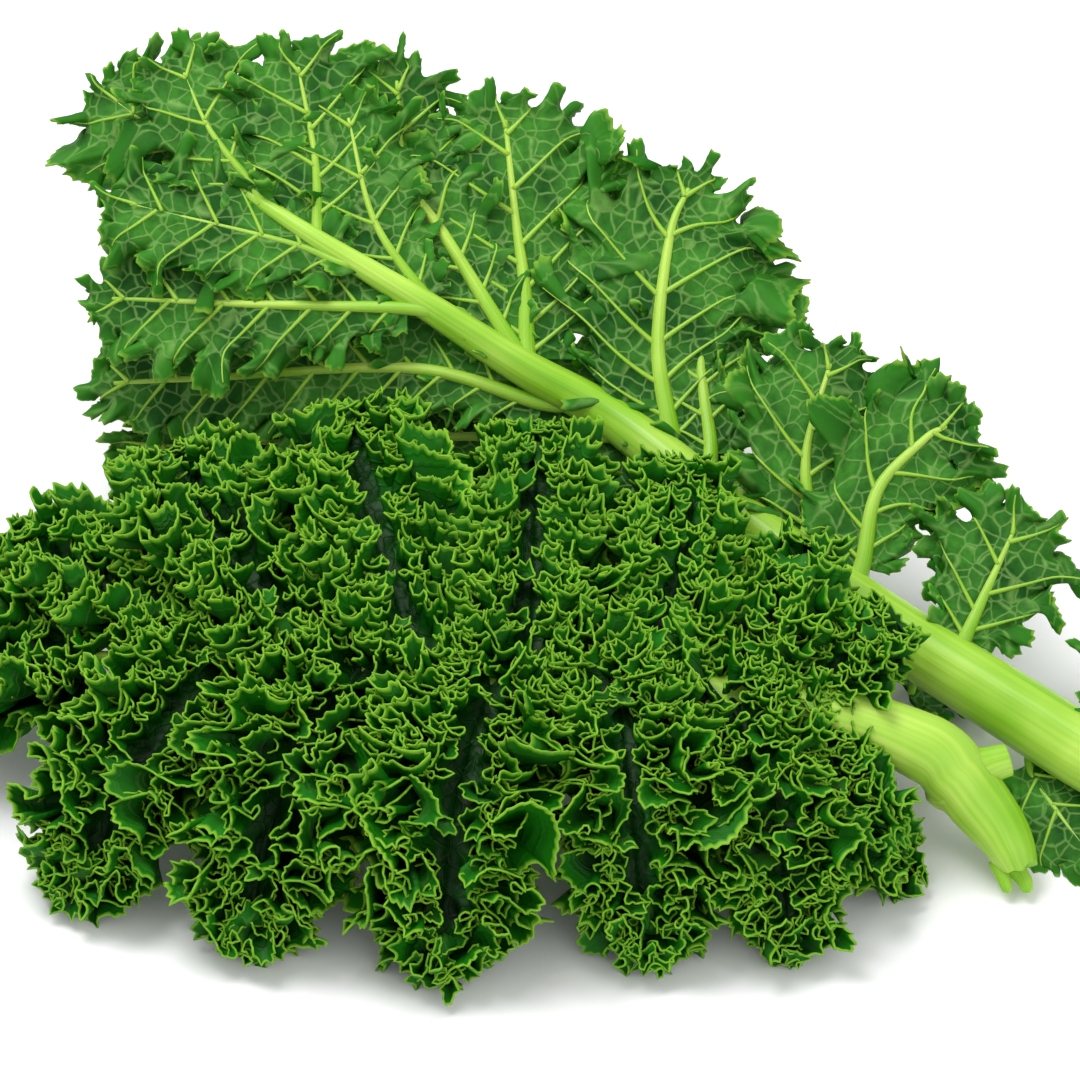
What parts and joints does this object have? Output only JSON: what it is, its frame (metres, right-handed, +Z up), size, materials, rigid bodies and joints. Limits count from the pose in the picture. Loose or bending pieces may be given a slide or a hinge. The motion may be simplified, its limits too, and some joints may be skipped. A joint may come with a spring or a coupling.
{
  "type": "kale bunch",
  "caption": "Bunch of curly kale lying on a table: a leaf with its frilled face up, and one behind with its veined underside and thick stem showing.",
  "frame": {"origin": "on the table, under the middle of the bunch's box", "axes": "+X along the bunch, from the leaves' tips to the cut end of the rear stem; +Y away from the front leaf towards the rear one; +Z up"},
  "size_m": [0.3142, 0.236, 0.0987],
  "materials": {
    "kale_stem": "fresh, satin, finely ribbed stem",
    "kale_blade_curled": "waxy satin leaf, upper face, tightly frilled",
    "kale_blade_veined": "matt grey-green leaf, underside, with pale raised veins"
  },
  "bodies": {
    "root": {"front_leaf_stem": "kale_stem", "front_leaf_lobe_near_1": "kale_blade_curled", "front_leaf_lobe_near_2": "kale_blade_curled", "front_leaf_lobe_near_3": "kale_blade_curled", "front_leaf_lobe_near_4": "kale_blade_curled", "front_leaf_lobe_near_5": "kale_blade_curled", "front_leaf_lobe_near_6": "kale_blade_curled", "front_leaf_lobe_far_1": "kale_blade_curled", "front_leaf_lobe_far_2": "kale_blade_curled", "front_leaf_lobe_far_3": "kale_blade_curled", "front_leaf_lobe_far_4": "kale_blade_curled", "front_leaf_lobe_far_5": "kale_blade_curled", "front_leaf_lobe_far_6": "kale_blade_curled", "front_leaf_lobe_far_7": "kale_blade_curled", "front_leaf_lobe_tip": "kale_blade_curled", "rear_leaf_stem": "kale_stem", "rear_leaf_lobe_upper_1": "kale_blade_veined", "rear_leaf_lobe_upper_2": "kale_blade_veined", "rear_leaf_lobe_upper_3": "kale_blade_veined", "rear_leaf_lobe_upper_4": "kale_blade_veined", "rear_leaf_lobe_upper_5": "kale_blade_veined", "rear_leaf_lobe_upper_6": "kale_blade_veined", "rear_leaf_lobe_upper_7": "kale_blade_veined", "rear_leaf_lobe_upper_8": "kale_blade_veined", "rear_leaf_lobe_upper_9": "kale_blade_veined", "rear_leaf_lobe_upper_10": "kale_blade_veined", "rear_leaf_lobe_upper_11": "kale_blade_veined", "rear_leaf_lobe_tip": "kale_blade_veined", "rear_leaf_lobe_lower_1": "kale_blade_veined", "rear_leaf_lobe_lower_2": "kale_blade_veined", "rear_leaf_lobe_lower_3": "kale_blade_veined", "rear_leaf_lobe_lower_4": "kale_blade_veined", "rear_leaf_lobe_lower_5": "kale_blade_veined", "rear_leaf_lobe_lower_6": "kale_blade_veined", "rear_leaf_lobe_lower_7": "kale_blade_veined", "rear_leaf_lobe_lower_8": "kale_blade_veined"}
  },
  "joints": []
}
